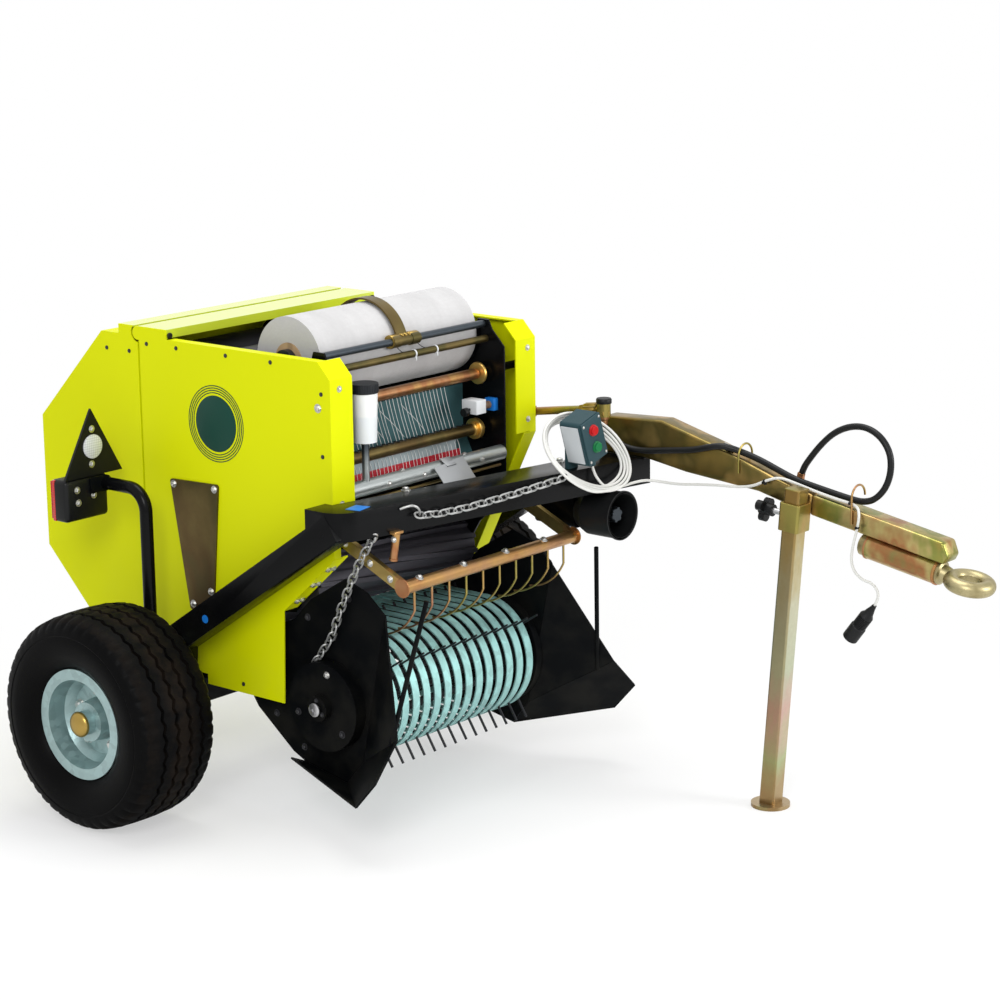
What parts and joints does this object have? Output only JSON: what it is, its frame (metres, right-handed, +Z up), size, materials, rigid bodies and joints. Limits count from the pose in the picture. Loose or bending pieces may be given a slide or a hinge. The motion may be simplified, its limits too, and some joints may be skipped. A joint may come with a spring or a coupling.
{
  "type": "small towed round baler",
  "caption": "Small round baler on two wheels with a side drawbar, swivel tow eye, tined pick-up, net wrap roll, hinged rear door and a parking jack.",
  "frame": {"origin": "on the ground under the middle of the machine's box", "axes": "+X is the towing direction, +Y the machine's left, +Z up"},
  "size_m": [2.0114, 1.37, 1.078],
  "materials": {
    "tyre": "matt",
    "rim": "satin",
    "red": "satin",
    "yellow": "satin",
    "teal_sheet": "satin",
    "steel": "satin",
    "roller": "satin",
    "zinc_gold": "satin",
    "net": "matt",
    "card": "matt",
    "black": "gloss",
    "black_plastic": "matt",
    "white_plastic": "matt",
    "lid_plastic": "matt",
    "silver_plate": "satin",
    "galvanised": "satin",
    "white_cable": "matt",
    "rubber_hose": "matt",
    "lamp": "matt",
    "reflector": "gloss"
  },
  "bodies": {
    "chassis": {"axle": "black", "blank_plate": "silver_plate", "cable_hank": "white_cable", "cable_hooks": "zinc_gold", "cable_plug": "black_plastic", "cable_run": "white_cable", "chamber_wall_left": "black", "chamber_wall_right": "black", "control_box": "black_plastic", "coupling_box": "zinc_gold", "coupling_tube": "zinc_gold", "cover_left": "yellow", "cover_right": "yellow", "cross_rods": "steel", "drawbar": "zinc_gold", "feed_hose": "rubber_hose", "front_rollers": "roller", "gearbox": "black", "hydraulic_pipe": "zinc_gold", "jack_knob": "black_plastic", "jack_sleeve": "zinc_gold", "lamp_posts": "black", "lamps": "lamp", "main_frame": "black", "net_sensor": "steel", "net_sheet": "teal_sheet", "net_tubes": "zinc_gold", "oil_jar": "white_plastic", "oil_jar_lid": "lid_plastic", "pto_bell": "black_plastic", "red_strip": "red", "side_plates": "zinc_gold", "top_cover_front": "yellow", "triangles": "reflector"},
    "pickup": {"divider_left": "black", "divider_right": "black", "reel_guard": "black", "stripper_bands": "galvanised"},
    "tailgate": {"door_hinges": "zinc_gold", "rear_rollers": "roller", "tailgate": "yellow", "tailgate_walls": "black", "top_cover_rear": "yellow"},
    "jack_leg": {"jack_leg": "zinc_gold"},
    "net_arm": {"net_arm": "zinc_gold"},
    "net_roll": {"net_core": "card", "net_roll": "net"},
    "feed_roller": {"net_feed_roller": "zinc_gold"},
    "pto_shaft": {"pto_shaft": "steel"},
    "wheel_left": {"rim_left": "rim", "tyre_left": "tyre"},
    "wheel_right": {"rim_right": "rim", "tyre_right": "tyre"},
    "starter_roller": {"starter_roller": "roller"},
    "tine_reel": {"tine_reel": "steel"},
    "tow_eye": {"tow_eye": "zinc_gold"},
    "wind_guard": {"wind_guard": "zinc_gold", "wind_guard_tines": "zinc_gold"}
  },
  "joints": [
    {"name": "wheel_right_spin", "type": "hinge", "parent": "chassis", "child": "wheel_right", "pos_m": [-0.539, -0.579, 0.2325], "axis": [0, 1, 0], "continuous": true},
    {"name": "wheel_left_spin", "type": "hinge", "parent": "chassis", "child": "wheel_left", "pos_m": [-0.539, 0.579, 0.2325], "axis": [0, 1, 0], "continuous": true},
    {"name": "tailgate_hinge", "type": "hinge", "parent": "chassis", "child": "tailgate", "pos_m": [-0.68, 0, 1.002], "axis": [0, 1, 0], "range_deg": [0, 55]},
    {"name": "starter_roller_spin", "type": "hinge", "parent": "chassis", "child": "starter_roller", "pos_m": [-0.254, -0.025, 0.49], "axis": [0, 1, 0], "continuous": true},
    {"name": "feed_roller_spin", "type": "hinge", "parent": "chassis", "child": "feed_roller", "pos_m": [-0.179, -0.025, 0.888], "axis": [0, 1, 0], "continuous": true},
    {"name": "net_roll_spin", "type": "hinge", "parent": "chassis", "child": "net_roll", "pos_m": [-0.283, -0.025, 0.975], "axis": [0, 1, 0], "continuous": true},
    {"name": "net_arm_swing", "type": "hinge", "parent": "chassis", "child": "net_arm", "pos_m": [-0.17807, -0.025, 0.99597], "axis": [0, 1, 0], "range_deg": [0, 100]},
    {"name": "pickup_lift", "type": "hinge", "parent": "chassis", "child": "pickup", "pos_m": [-0.409, -0.025, 0.33], "axis": [0, 1, 0], "range_deg": [0, 10]},
    {"name": "tine_reel_spin", "type": "hinge", "parent": "pickup", "child": "tine_reel", "pos_m": [-0.154, -0.025, 0.262], "axis": [0, 1, 0], "continuous": true},
    {"name": "wind_guard_lift", "type": "hinge", "parent": "chassis", "child": "wind_guard", "pos_m": [-0.141, -0.025, 0.636], "axis": [0, -1, 0], "range_deg": [0, 20]},
    {"name": "jack_slide", "type": "slide", "parent": "chassis", "child": "jack_leg", "axis": [0.0819, 0, 0.9966], "range_m": [0, 0.3]},
    {"name": "pto_spin", "type": "hinge", "parent": "chassis", "child": "pto_shaft", "pos_m": [0.061, 0.31, 0.595], "axis": [1, 0, 0], "continuous": true},
    {"name": "tow_eye_swivel", "type": "hinge", "parent": "chassis", "child": "tow_eye", "pos_m": [0.71454, 0.407, 0.59577], "axis": [0.9848, 0, -0.1736], "continuous": true}
  ]
}
